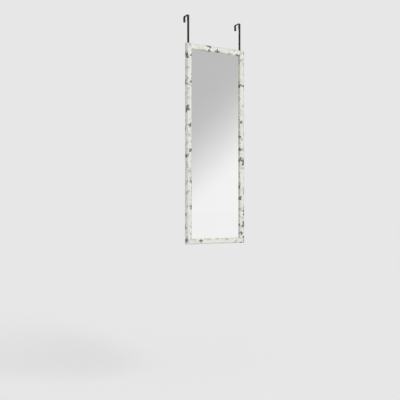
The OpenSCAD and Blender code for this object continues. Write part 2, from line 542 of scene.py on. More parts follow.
Number = Signal | float


@dataclass(frozen=True)
class Graph:
    """A node tree, with one short call for each kind of node.

    Attributes:
        tree: The node tree that the calls add to.
    """

    tree: bpy.types.NodeTree

    def node(self, kind: str, values: Values = (), **settings: Any) -> Node:
        """Adds a node and feeds its inputs.

        Args:
            kind: The node's type.
            values: What goes into its first inputs, or into those that a dictionary names.
            **settings: Its settings.

        Returns:
            The new node.
        """
        node = self.tree.nodes.new(kind)
        for setting, value in settings.items():
            setattr(node, setting, value)
        self.feed_all(node, values)
        return node

    def feed(self, socket: Socket, value: Any) -> None:
        """Links a signal or a socket to an input, or sets the input to a plain value.

        Args:
            socket: The input.
            value: What goes in.
        """
        source = value.socket if isinstance(value, Signal) else value
        if isinstance(source, Socket):
            self.tree.links.new(source, socket)
        elif socket.type == "RGBA" and len(source) == 3:
            socket.default_value = (*source, 1.0)
        else:
            socket.default_value = source

    def feed_all(self, node: Node, values: Values) -> None:
        """Feeds several inputs of a node.

        Args:
            node: The node.
            values: What goes into its first inputs, or into those that a dictionary names.
        """
        pairs = values.items() if isinstance(values, dict) else enumerate(values)
        for key, value in pairs:
            self.feed(node.inputs[key], value)

    def math(self, operation: str, *values: Number, clamp: bool = False) -> Signal:
        """Does one sum, whose result is kept between 0 and 1 if it is clamped."""
        node = self.node("ShaderNodeMath", values, operation=operation, use_clamp=clamp)
        return Signal(self, node.outputs[0])

    def vector(self, operation: str, *values: Any) -> Socket:
        """Does one sum with vectors or colours."""
        return self.node("ShaderNodeVectorMath", values, operation=operation).outputs[0]

    def scaled(self, vector: Socket, factor: float) -> Socket:
        """A vector times a plain number."""
        return self.vector("MULTIPLY", vector, (factor, factor, factor))

    def dot(self, first: Socket, second: Place) -> Signal:
        """How far a vector reaches along a direction."""
        node = self.node("ShaderNodeVectorMath", (first, second), operation="DOT_PRODUCT")
        return Signal(self, node.outputs["Value"])

    def split(self, vector: Socket) -> tuple[Signal, Signal, Signal]:
        """The three parts of a vector or a colour."""
        parts = self.node("ShaderNodeSeparateXYZ", (vector,)).outputs
        return Signal(self, parts[0]), Signal(self, parts[1]), Signal(self, parts[2])

    def object_place(self) -> Socket:
        """Where a point lies in the mirror's frame, in metres."""
        return self.node("ShaderNodeTexCoord").outputs["Object"]

    def wrapped_place(self) -> Socket:
        """Where a point lies on the unrolled foil, in metres along it and round the moulding."""
        return self.node("ShaderNodeUVMap", uv_map=WRAP_UV).outputs["UV"]

    def seen(self) -> Signal:
        """1 for a ray straight from the camera, and 0 for another."""
        return Signal(self, self.node("ShaderNodeLightPath").outputs["Is Camera Ray"])

    def mirrored(self) -> Signal:
        """1 for a ray that a mirror or glass sends on, and 0 for another."""
        ray = self.node("ShaderNodeLightPath").outputs
        return Signal(self, ray["Is Glossy Ray"]).or_more(Signal(self, ray["Is Transmission Ray"]))

    def mix(self, factor: Number, first: Any, second: Any) -> Socket:
        """Mixes two colours, where the factor is the second one's share."""
        values = {0: factor, 6: first, 7: second}
        return self.node("ShaderNodeMix", values, data_type="RGBA").outputs[2]

    def noise(self, place: Socket, grain: float, detail: float = 3.0, bend: float = 0.0) -> Signal:
        """Soft random blotches round 0.5; detail adds finer layers and bend distorts them."""
        values = {"Vector": place, "Scale": 1.0 / grain, "Detail": detail, "Distortion": bend}
        return Signal(self, self.node("ShaderNodeTexNoise", values).outputs[0])

    def drawn(self, place: Socket, pull: Place, grain: float, detail: float = 3.0) -> Signal:
        """Blotches as noise gives them, drawn out along each coordinate that has a small pull."""
        return self.noise(self.vector("MULTIPLY", place, pull), grain, detail)

    def cells(self, place: Socket, grain: float) -> Signal:
        """The distance to the nearest of many points about a grain apart, as a share of a grain."""
        node = self.node("ShaderNodeTexVoronoi", {"Vector": place, "Scale": 1.0 / grain})
        return Signal(self, node.outputs["Distance"])

    def spread(self, value: Signal, source: Spot, target: Spot = (0.0, 1.0)) -> Signal:
        """Maps a range of numbers to another with soft ends, and keeps the result within it."""
        kind, values = "ShaderNodeMapRange", (value, *source, *target)
        return Signal(self, self.node(kind, values, interpolation_type="SMOOTHSTEP").outputs[0])

    def relief(self, height: Number, depth: float) -> Socket:
        """Turns a height from 0 to 1 into a bump, where a height of 1 is as deep as given."""
        return self.node("ShaderNodeBump", {"Distance": depth, "Height": height}).outputs["Normal"]


def new_material(name: str) -> tuple[bpy.types.Material, Graph, Node]:
    """Adds a material.

    Args:
        name: Its name.

    Returns:
        The material, its nodes and the shader among them.
    """
    material = bpy.data.materials.new(name)
    material.use_nodes = True
    return material, Graph(material.node_tree), material.node_tree.nodes["Principled BSDF"]


@dataclass(frozen=True)
class Look:
    """What a finish gives at each point of a surface.

    Attributes:
        colour: The colour.
        roughness: The roughness.
        height: The height of the relief, from 0 to 1, or nothing where the surface is smooth.
    """

    colour: Socket
    roughness: Signal
    height: Signal | None = None


@dataclass(frozen=True)
class Finish:
    """A surface finish. Each kind has a look of its own.

    Attributes:
        name: The material's name.
        metallic: 1 for a metal, and 0 for anything else.
        shine: How strongly it reflects, where 0.5 is usual.
        rough: Its least and its greatest roughness.
        depth: How deep its relief is.
    """

    name: str
    metallic: float = 0.0
    shine: float = 0.5
    rough: Spot = (0.5, 0.5)
    depth: float = 0.0

    def look(self, graph: Graph) -> Look:
        """Adds the nodes of the finish's look."""
        raise NotImplementedError

    def material(self) -> bpy.types.Material:
        """Gives the finish's material, which is built when it is first asked for.

        Returns:
            The material.
        """
        known = bpy.data.materials.get(self.name)
        if known is not None:
            return known
        material, graph, shader = new_material(self.name)
        look = self.look(graph)
        graph.feed_all(shader, {"Base Color": look.colour, "Roughness": look.roughness})
        graph.feed_all(shader, {"Metallic": self.metallic, "Specular IOR Level": self.shine})
        if look.height is not None:
            graph.feed(shader.inputs["Normal"], graph.relief(look.height, self.depth))
        return material

    def coat(self, piece: Piece) -> None:
        """Gives a piece this finish all over."""
        piece.data.materials.clear()
        piece.data.materials.append(self.material())


# ---- The moulding's printed foil --------------------------------------------------------------


class Motif(Enum):
    """What a layer of the print shows."""

    LEAVES = "three leaves on a stem"
    TWIG = "a fine twig with pairs of leaves"
    BLOSSOM = "an open blossom in outline"
    CURL = "a tendril's curl"
    BERRIES = "three berries on a sprig"


@dataclass(frozen=True)
class PrintLayer:
    """One ink of the print, with one motif scattered along the moulding.

    Attributes:
        motif: What it shows.
        ink: Its colour.
        cover: How much of the ground it hides, from 0 to 1.
        spacing: The usual distance between two motifs.
        size: How much larger than its usual size the motif is.
        share: The share of the places that are filled.
        shift: Where the scatter starts, in spacings.
        edge: The softness of the ink's edge.
    """

    motif: Motif
    ink: Colour
    cover: float
    spacing: float
    size: float
    share: float
    shift: Spot
    edge: float = 0.25 * MM


@dataclass(frozen=True)
class MotifPen:
    """Draws motifs with maths nodes, each round the origin, with its size in metres.

    Attributes:
        graph: The material's nodes.
        x: The coordinate along the motif.
        y: The coordinate across it.
        edge: The softness of a drawn edge.
    """

    graph: Graph
    x: Signal
    y: Signal
    edge: float

    def inside(self, depth: Signal) -> Signal:
        """Turns a depth inside an outline, in metres, into ink from 0 to 1."""
        return self.graph.math("MULTIPLY_ADD", depth, 1.0 / self.edge, 0.5, clamp=True)

    def line(self, distance: Signal, half_width: float) -> Signal:
        """A line's ink at a distance from its middle."""
        return self.inside(half_width - abs(distance))

    def stem(self, bend: float, half_width: float) -> Signal:
        """A bent stem's ink along the whole of +x and -x."""
        return self.line(self.y - self.x * self.x * bend, half_width)

    def radius(self, x: Signal, y: Signal) -> Signal:
        """The distance from the point where two coordinates are 0."""
        return self.graph.math("SQRT", x * x + y * y)

    def angle(self) -> Signal:
        """The direction from the middle, in radians from +x."""
        return self.graph.math("ARCTAN2", self.y, self.x)

    def leaf(self, x: Signal, y: Signal, long: float, wide: float, turn: float = 0.0) -> Signal:
        """A pointed leaf with a pale vein, just off the point where two coordinates are 0.

        Args:
            x: The first coordinate.
            y: The second coordinate.
            long: The leaf's length.
            wide: Its width.
            turn: Its turn from +x towards +y, in degrees.

        Returns:
            The leaf's ink.
        """
        cos, sin = math.cos(math.radians(turn)), math.sin(math.radians(turn))
        along, across = x * cos + y * sin, abs(y * cos - x * sin)
        foot, vein_paleness = wide / 6, 0.55
        share = (along - foot) / long
        half = share * (1.0 - share) * (2.0 * wide)
        vein = self.line(across, half_width=0.25 * MM) * vein_paleness
        return self.inside(half - across) * (1.0 - vein)

    def leaves(self) -> Signal:
        """Three broad leaves that fan out from the end of a bent stem.

        Returns:
            Their ink.
        """
        straight = self.leaf(self.x, self.y, long=13 * MM, wide=6 * MM)
        sides = self.leaf(self.x, abs(self.y), long=11 * MM, wide=5.2 * MM, turn=52.0)
        tail, top = -12 * MM, 1 * MM
        stem = self.stem(bend=14.0, half_width=0.45 * MM) * self.x.below(top) * self.x.above(tail)
        return straight.or_more(sides).or_more(stem)

    def twig(self) -> Signal:
        """A fine bent stem with pairs of small leaves.

        Returns:
            Its ink.
        """
        bend, step, pairs = 9.0, 4.2 * MM, 3
        across = abs(self.y - self.x * self.x * bend)
        along = self.graph.math("FLOORED_MODULO", self.x, step)
        leaves = self.leaf(along, across, long=5.4 * MM, wide=2 * MM, turn=48.0)
        stem = self.stem(bend, half_width=0.3 * MM)
        return leaves.or_more(stem) * abs(self.x).below(pairs * step)

    def blossom(self) -> Signal:
        """Five petals in outline with a pale wash, stamens and a dark eye.

        Returns:
            Its ink.
        """
        petals, heart, reach, fullness = 5, 3.4 * MM, 4.2 * MM, 0.55
        wash_ink, stamen_ink, stamen_edge = 0.4, 0.8, 0.93
        radius, angle = self.radius(self.x, self.y), self.angle()
        lobe = abs(self.graph.math("COSINE", angle * (petals / 2)))
        rim = self.graph.math("POWER", lobe, fullness) * reach + heart
        wash = self.inside(rim - radius) * wash_ink
        outline = self.line(radius - rim, half_width=0.4 * MM)
        spokes = abs(self.graph.math("COSINE", angle * petals)).above(stamen_edge)
        stamens = spokes * radius.below(heart) * stamen_ink
        eye = self.line(radius, half_width=1.3 * MM)
        return wash.or_more(outline).or_more(stamens).or_more(eye)

    def curl(self) -> Signal:
        """Two turns of a thin tendril.

        Returns:
            Its ink.
        """
        start, end, pitch = 0.6 * MM, 7 * MM, 3.6 * MM
        radius = self.radius(self.x, self.y)
        turns = radius / pitch - self.angle() / math.tau
        gap = self.graph.math("PINGPONG", turns, 0.5) * pitch
        return self.line(gap, half_width=0.32 * MM) * radius.below(end) * radius.above(start)

    def berries(self) -> Signal:
        """Three berries at the ends of a forked stem.

        Returns:
            Their ink.
        """
        tail, fork, spread, tip = -9 * MM, 3.6 * MM, 3.2 * MM, 6.5 * MM
        end = self.line(self.radius(self.x - tip, self.y), half_width=1.3 * MM)
        pair_at = self.radius(self.x - fork, abs(self.y) - spread)
        pair = self.line(pair_at, half_width=1.15 * MM)
        arms = self.line(abs(self.y) - self.x * (spread / fork), half_width=0.3 * MM)
        forked = arms * self.x.above(0.0) * self.x.below(fork)
        stem = self.stem(bend=10.0, half_width=0.3 * MM) * self.x.above(tail) * self.x.below(tip)
        return end.or_more(pair).or_more(forked).or_more(stem)

    def draw(self, motif: Motif) -> Signal:
        """Draws one of the motifs.

        Args:
            motif: Which one.

        Returns:
            Its ink, from 0 to 1.
        """
        drawings = {
            Motif.LEAVES: self.leaves,
            Motif.TWIG: self.twig,
            Motif.BLOSSOM: self.blossom,
            Motif.CURL: self.curl,
            Motif.BERRIES: self.berries,
        }
        return drawings[motif]()


PALE_LEAVES = PrintLayer(
    Motif.LEAVES, ink=(0.74, 0.765, 0.635), cover=0.75,
    spacing=70 * MM, size=2.1, share=0.85, shift=(0.3, 0.1), edge=1.5 * MM,
)
CURLS = PrintLayer(
    Motif.CURL, ink=(0.40, 0.40, 0.37), cover=0.8,
    spacing=37 * MM, size=1.3, share=0.6, shift=(2.6, 7.3),
)
BLOSSOMS = PrintLayer(
    Motif.BLOSSOM, ink=(0.27, 0.28, 0.25), cover=0.9,
    spacing=62 * MM, size=1.5, share=0.7, shift=(5.2, 3.8),
)
TWIGS = PrintLayer(
    Motif.TWIG, ink=(0.20, 0.205, 0.17), cover=0.95,
    spacing=52 * MM, size=1.3, share=0.75, shift=(8.7, 1.4),
)
DARK_LEAVES = PrintLayer(
    Motif.LEAVES, ink=(0.05, 0.052, 0.04), cover=0.96,
    spacing=70 * MM, size=2.1, share=0.9, shift=(3.1, 9.6),
)
BERRIES = PrintLayer(
    Motif.BERRIES, ink=(0.12, 0.12, 0.09), cover=0.9,
    spacing=34 * MM, size=1.1, share=0.35, shift=(1.9, 4.4),
)


@dataclass(frozen=True)
class PrintedFoil(Finish):
    """A satin paper foil printed with leaves and blossoms in a few faded inks.

    Attributes:
        ground: The paper's colour.
        faded: Its colour where it has faded.
        layers: The inks, from the lowest to the topmost.
        wash: What the yellow wash on the inner half lets through.
        wash_from: From where to where round the moulding the wash sets in.
        wash_peak: Where along the roll the wash is strongest.
        wash_run: How far along the roll it is to the next such place.
        wash_swell: From where to where in this rise and fall, from -1 to 1, the wash comes in.
        aged: What the glaze on the inner edge lets through, partly a yellow tint
            and partly painted shade next to the rebate.
        aged_pale: What it lets through where the wash is strongest.
        aged_from: From where to where round the moulding the glaze sets in.
        dusk: What the painted shade along the shoulder and at the rear edge lets through.
        line_from: From where to where round the moulding the painted shade line sets in.
        line_to: From where to where it dies away.
        rear_to: From where to where the painted shade at the rear edge dies away.
        wander: How far an ink's edge strays.
        wander_grain: The distance over which it strays to and fro.
        jitter: How irregular the scatter is, from 0 to 1.
        growth: The size of the smallest and the largest motif of a layer, as shares of its size.
    """

    rough: Spot = (0.42, 0.52)
    depth: float = 0.012 * MM
    ground: Colour = (0.89, 0.89, 0.86)
    faded: Colour = (0.828, 0.828, 0.80)
    layers: tuple[PrintLayer, ...] = (PALE_LEAVES, CURLS, BLOSSOMS, TWIGS, DARK_LEAVES, BERRIES)
    wash: Colour = (1.0, 1.0, 0.93)
    wash_from: Spot = (17 * MM, 22 * MM)
    wash_peak: float = 0.55
    wash_run: float = 5.0
    wash_swell: Spot = (-0.3, 0.6)
    # Partly a yellow tint and partly painted shade: darkens the inner edge next to the rebate.
    aged: Colour = (0.80, 0.81, 0.73)
    aged_pale: Colour = (0.92, 0.93, 0.84)
    aged_from: Spot = (29.5 * MM, 32.5 * MM)
    # Painted shade: this colour darkens a line along the outer shoulder and the rear of the side.
    dusk: Colour = (0.83, 0.83, 0.82)
    line_from: Spot = (5 * MM, 7.5 * MM)
    line_to: Spot = (9.5 * MM, 13 * MM)
    rear_to: Spot = (-12 * MM, -6 * MM)
    wander: float = 0.35 * MM
    wander_grain: float = 3 * MM
    jitter: float = 0.6
    growth: Spot = (0.65, 1.25)

    def scattered(self, graph: Graph, place: Socket, layer: PrintLayer) -> Signal:
        """A layer's ink at a point of the unrolled foil.

        Args:
            graph: The material's nodes.
            place: The point.
            layer: The layer.

        Returns:
            The ink, from 0 to 1.
        """
        scaled = graph.scaled(place, 1.0 / layer.spacing)
        moved = graph.vector("ADD", scaled, (*layer.shift, 0.0))
        spots = {"Vector": moved, "Scale": 1.0, "Randomness": self.jitter}
        cell = graph.node("ShaderNodeTexVoronoi", spots, voronoi_dimensions="2D")
        offset = graph.vector("SUBTRACT", moved, cell.outputs["Position"])
        across, along, _ = graph.split(graph.scaled(offset, layer.spacing / layer.size))
        turn_draw, size_draw, fill_draw = graph.split(cell.outputs["Color"])
        turn = turn_draw * math.tau
        cos, sin = graph.math("COSINE", turn), graph.math("SINE", turn)
        smallest, largest = self.growth
        growth = size_draw * (largest - smallest) + smallest
        x = (across * cos + along * sin) / growth
        y = (along * cos - across * sin) / growth
        return MotifPen(graph, x, y, layer.edge).draw(layer.motif) * fill_draw.below(layer.share)

    def strayed(self, graph: Graph, place: Socket) -> Socket:
        """Moves a point a little at random, so that the inks' edges aren't sharp.

        Args:
            graph: The material's nodes.
            place: The point.

        Returns:
            The moved point.
        """
        spots = {"Vector": place, "Scale": 1.0 / self.wander_grain}
        stray = graph.node("ShaderNodeTexNoise", spots)
        centred = graph.vector("SUBTRACT", stray.outputs["Color"], (0.5, 0.5, 0.5))
        return graph.vector("ADD", place, graph.scaled(centred, 2 * self.wander))

    def glazed(self, graph: Graph, place: Socket) -> Socket:
        """The clear tints over the print.

        They are a yellow wash on the inner half, a glaze on the inner edge that is partly a yellow
        tint and partly painted shade, and painted shade along the shoulder and at the rear edge.

        Args:
            graph: The material's nodes.
            place: The point on the unrolled foil.

        Returns:
            What the tints and the painted shade let through.
        """
        along, round_it, _ = graph.split(place)
        swell = graph.math("COSINE", (along - self.wash_peak) * (math.tau / self.wash_run))
        strong = graph.spread(swell, self.wash_swell)
        inner = graph.spread(round_it, self.wash_from)
        washed = graph.mix(inner * strong, WHITE, self.wash)
        # The inner edge's glaze is partly a yellow tint and partly painted shade next to the
        # rebate.
        edge = graph.spread(round_it, self.aged_from)
        aged = graph.mix(edge, washed, graph.mix(strong, self.aged, self.aged_pale))
        # Painted shade: a darker line along the outer shoulder and a darker rear edge of the side.
        line = graph.spread(round_it, self.line_from) - graph.spread(round_it, self.line_to)
        rear = graph.spread(round_it, self.rear_to, (1.0, 0.0))
        return graph.vector("MULTIPLY", aged, graph.mix(line.or_more(rear), WHITE, self.dusk))

    def look(self, graph: Graph) -> Look:
        """Prints the layers over the paper and gives it a fine satin grain.

        Args:
            graph: The material's nodes.

        Returns:
            The look.
        """
        place = graph.wrapped_place()
        cloud = graph.noise(place, grain=45 * MM, detail=4.0)
        colour = graph.mix(graph.spread(cloud, (0.35, 0.7)), self.ground, self.faded)
        mottle = graph.noise(place, grain=2.2 * MM, detail=2.0)
        dabs = graph.spread(mottle, (0.28, 0.55), (0.65, 1.0))
        inked = self.strayed(graph, place)
        for layer in self.layers:
            ink = self.scattered(graph, inked, layer) * layer.cover * dabs
            colour = graph.mix(ink, colour, layer.ink)
        tinted = graph.vector("MULTIPLY", colour, self.glazed(graph, place))
        grain = graph.noise(graph.object_place(), grain=0.35 * MM, detail=2.0)
        return Look(tinted, graph.spread(cloud, WIDE, self.rough), grain)


# ---- The other finishes -----------------------------------------------------------------------


@dataclass(frozen=True)
class RawFibreboard(Finish):
    """The moulding's bare fibreboard: pressed fibres from pale to brown, with darker specks."""

    rough: Spot = (0.78, 0.92)
    depth: float = 0.15 * MM
    pale: Colour = (0.46, 0.32, 0.195)
    brown: Colour = (0.368, 0.256, 0.156)
    speck: Colour = (0.25, 0.16, 0.09)

    def look(self, graph: Graph) -> Look:
        """Lays fine fibres, specks and soft clouds over each other.

        Args:
            graph: The material's nodes.

        Returns:
            The look.
        """
        place = graph.object_place()
        fibres = graph.drawn(place, pull=(1.0, 1.0, 0.3), grain=0.8 * MM, detail=4.0)
        specks = graph.spread(graph.cells(place, grain=1.6 * MM), (0.1, 0.3), (0.6, 0.0))
        clouds = graph.noise(place, grain=30 * MM)
        tone = graph.spread(fibres * 0.7 + clouds * 0.3, CLOSE)
        colour = graph.mix(specks, graph.mix(tone, self.pale, self.brown), self.speck)
        return Look(colour, graph.spread(fibres, WIDE, self.rough), fibres)


@dataclass(frozen=True)
class SilveredGlass(Finish):
    """Mirror glass: bright silver under polished glass, in places with the faintest haze."""

    metallic: float = 1.0
    rough: Spot = (0.006, 0.018)
    silver: Colour = (0.94, 0.94, 0.935)
    hazed: Colour = (0.925, 0.93, 0.93)

    def look(self, graph: Graph) -> Look:
        """Lets the haze and the tint vary a little over the plate.

        Args:
            graph: The material's nodes.

        Returns:
            The look.
        """
        haze = graph.noise(graph.object_place(), grain=120 * MM)
        tint = graph.mix(graph.spread(haze, WIDE), self.silver, self.hazed)
        return Look(tint, graph.spread(haze, (0.45, 0.75), self.rough))


@dataclass(frozen=True)
class GlassEdge(Finish):
    """The ground edge of the glass: green and dull, deep in the grinding marks and pale between."""

    rough: Spot = (0.35, 0.55)
    depth: float = 0.02 * MM
    deep: Colour = (0.30, 0.44, 0.38)
    pale: Colour = (0.42, 0.54, 0.49)

    def look(self, graph: Graph) -> Look:
        """Gives the edge fine grinding marks along the plate.

        Args:
            graph: The material's nodes.

        Returns:
            The look.
        """
        marks = graph.drawn(graph.object_place(), pull=(1.0, 6.0, 1.0), grain=1.5 * MM)
        colour = graph.mix(graph.spread(marks, WIDE), self.deep, self.pale)
        return Look(colour, graph.spread(marks, WIDE, self.rough), marks)


@dataclass(frozen=True)
class BackPaint(Finish):
    """The grey paint on the back of the glass: dark where it is thick and pale where it is thin."""

    rough: Spot = (0.4, 0.5)
    depth: float = 0.03 * MM
    dark: Colour = (0.16, 0.17, 0.18)
    pale: Colour = (0.20, 0.21, 0.22)

    def look(self, graph: Graph) -> Look:
        """Rolls the paint on with a faint orange peel.

        Args:
            graph: The material's nodes.

        Returns:
            The look.
        """
        place = graph.object_place()
        peel = graph.noise(place, grain=1.2 * MM, detail=2.0)
        clouds = graph.spread(graph.noise(place, grain=60 * MM), CLOSE)
        colour = graph.mix(clouds, self.dark, self.pale)
        return Look(colour, graph.spread(peel, WIDE, self.rough), peel)


@dataclass(frozen=True)
class PackingCard(Finish):
    """Brown card of dark and pale fibres, with the lines of its flutes at an even distance."""

    rough: Spot = (0.8, 0.95)
    depth: float = 0.2 * MM
    dark: Colour = (0.36, 0.24, 0.13)
    pale: Colour = (0.46, 0.32, 0.19)
    flute: float = 7 * MM

    def look(self, graph: Graph) -> Look:
        """Shows the flutes as soft ridges under a fibrous paper.

        Args:
            graph: The material's nodes.

        Returns:
            The look.
        """
        place = graph.object_place()
        _, _, height = graph.split(place)
        ridge = graph.math("SINE", height * (math.tau / self.flute)) * 0.5 + 0.5
        fibres = graph.drawn(place, pull=(0.25, 1.0, 1.0), grain=1.4 * MM, detail=4.0)
        tone = graph.spread(fibres * 0.75 + ridge * 0.25, WIDE)
        colour = graph.mix(tone, self.dark, self.pale)
        return Look(colour, graph.spread(fibres, WIDE, self.rough), ridge * 0.7 + fibres * 0.3)


@dataclass(frozen=True)
class Hardboard(Finish):
    """Wet-pressed hardboard of dark and pale fibres, pitted by the wires of the press's screen."""

    rough: Spot = (0.62, 0.8)
    depth: float = 0.22 * MM
    dark: Colour = (0.185, 0.105, 0.055)
    pale: Colour = (0.285, 0.175, 0.10)
    pit: Colour = (0.09, 0.045, 0.022)
    screen: float = 2.1 * MM

    def look(self, graph: Graph) -> Look:
        """Crosses two sets of wire marks over mottled brown fibres.

        Args:
            graph: The material's nodes.

        Returns:
            The look.
        """
        place = graph.object_place()
        across, _, height = graph.split(place)
        step = math.tau / self.screen
        weave = graph.math("SINE", across * step) * graph.math("SINE", height * step)
        fibres = graph.noise(place, grain=1.6 * MM, detail=5.0, bend=0.8)
        flecks = graph.drawn(place, pull=(1.0, 1.0, 0.6), grain=7 * MM, detail=4.0)
        clouds = graph.noise(place, grain=110 * MM, detail=4.0)
        tone = graph.spread(fibres * 0.45 + flecks * 0.3 + clouds * 0.25, CLOSE)
        pits = graph.spread(weave, (-1.0, 0.1), (0.35, 0.0))
        colour = graph.mix(pits, graph.mix(tone, self.dark, self.pale), self.pit)
        return Look(colour, graph.spread(fibres, WIDE, self.rough), weave * 0.35 + fibres * 0.5)


@dataclass(frozen=True)
class PowderCoat(Finish):
    """Satin black powder coat on steel, with its fine orange peel, here and there rubbed dull."""

    shine: float = 0.22
    rough: Spot = (0.4, 0.48)
    depth: float = 0.035 * MM
    black: Colour = (0.009, 0.009, 0.010)
    rubbed: Colour = (0.018, 0.018, 0.019)

    def look(self, graph: Graph) -> Look:
        """Adds the peel, a soft change of gloss and a few dull rubs.

        Args:
            graph: The material's nodes.

        Returns:
            The look.
        """
        place = graph.object_place()
        peel = graph.noise(place, grain=0.9 * MM, detail=2.0)
        scuffs = graph.drawn(place, pull=(1.0, 1.0, 0.2), grain=6 * MM, detail=4.0)
        rubs = graph.spread(scuffs, (0.6, 0.72))
        dulled = graph.spread(peel, WIDE, self.rough) + rubs * 0.1
        return Look(graph.mix(rubs, self.black, self.rubbed), dulled, peel)


@dataclass(frozen=True)
class Foam(Finish):
    """Black closed-cell foam with dark open pores and a paler skin between them."""

    rough: Spot = (0.85, 0.98)
    depth: float = 0.12 * MM
    pore: Colour = (0.012, 0.012, 0.013)
    skin: Colour = (0.05, 0.05, 0.052)

    def look(self, graph: Graph) -> Look:
        """Pits the surface with pores of two sizes.

        Args:
            graph: The material's nodes.

        Returns:
            The look.
        """
        place = graph.object_place()
        large = graph.spread(graph.cells(place, grain=0.9 * MM), (0.05, 0.5))
        small = graph.spread(graph.cells(place, grain=0.4 * MM), (0.05, 0.5))
        walls = large * 0.6 + small * 0.4
        colour = graph.mix(walls, self.pore, self.skin)
        return Look(colour, graph.spread(small, (0.0, 1.0), self.rough), walls)


@dataclass(frozen=True)
class Rubber(Finish):
    """Moulded grey-black rubber: clean and matt, or a little paler where it has bloomed."""

    rough: Spot = (0.6, 0.78)
    depth: float = 0.03 * MM
    clean: Colour = (0.032, 0.032, 0.034)
    bloomed: Colour = (0.055, 0.055, 0.056)

    def look(self, graph: Graph) -> Look:
        """Mottles the rubber and dulls it in patches.

        Args:
            graph: The material's nodes.

        Returns:
            The look.
        """
        place = graph.object_place()
        bloom = graph.spread(graph.noise(place, grain=5 * MM), (0.45, 0.7))
        colour = graph.mix(bloom, self.clean, self.bloomed)
        grain = graph.noise(place, grain=0.5 * MM)
        return Look(colour, graph.spread(bloom, (0.0, 1.0), self.rough), grain)


@dataclass(frozen=True)
class PlatedSteel(Finish):
    """Bare or plated steel with fine drawing marks and a slightly cloudy gloss.

    Attributes:
        bright: The metal's colour.
        dull: Its colour in the clouds.
    """

    metallic: float = 1.0
    rough: Spot = (0.22, 0.4)
    depth: float = 0.01 * MM
    bright: Colour = (0.74, 0.76, 0.78)
    dull: Colour = (0.60, 0.61, 0.60)

    def look(self, graph: Graph) -> Look:
        """Draws fine marks along X and clouds the plating.

        Args:
            graph: The material's nodes.

        Returns:
            The look.
        """
        place = graph.object_place()
        clouds = graph.noise(place, grain=4 * MM, detail=4.0, bend=0.5)
        marks = graph.drawn(place, pull=(0.15, 1.0, 2.0), grain=0.5 * MM)
        colour = graph.mix(graph.spread(clouds, CLOSE), self.bright, self.dull)
        worn = graph.spread(clouds * 0.5 + marks * 0.5, CLOSE, self.rough)
        return Look(colour, worn, marks)


# ---- Camera, light and floor ------------------------------------------------------------------


@dataclass
class PhotoCamera:
    """The camera that sees the mirror as the photograph does, from its left and nearly level.

    Attributes:
        place: Where it stands.
        turn: How far it looks to the right of the mirror's straight-on view, in degrees.
        rise: How far it looks up, in degrees.
        focal: Its focal length in pixels of the 400 pixel frame.
        frame: The width and height of the frame in pixels.
        sensor: The width of its sensor in millimetres.
    """

    place: Place = (-1.556, -2.735, -1.027)
    turn: float = 28.23
    rise: float = 0.708
    focal: float = 577.4
    frame: float = 400.0
    sensor: float = 36.0

    def build(self) -> None:
        """Adds the camera and makes it the scene's own."""
        data = bpy.data.cameras.new("photo_camera")
        data.sensor_width = self.sensor
        data.lens = self.focal / self.frame * self.sensor
        camera = bpy.data.objects.new("photo_camera", data)
        camera.location = self.place
        camera.rotation_euler = (math.radians(90 + self.rise), 0.0, -math.radians(self.turn))
        bpy.context.scene.collection.objects.link(camera)
        bpy.context.scene.camera = camera


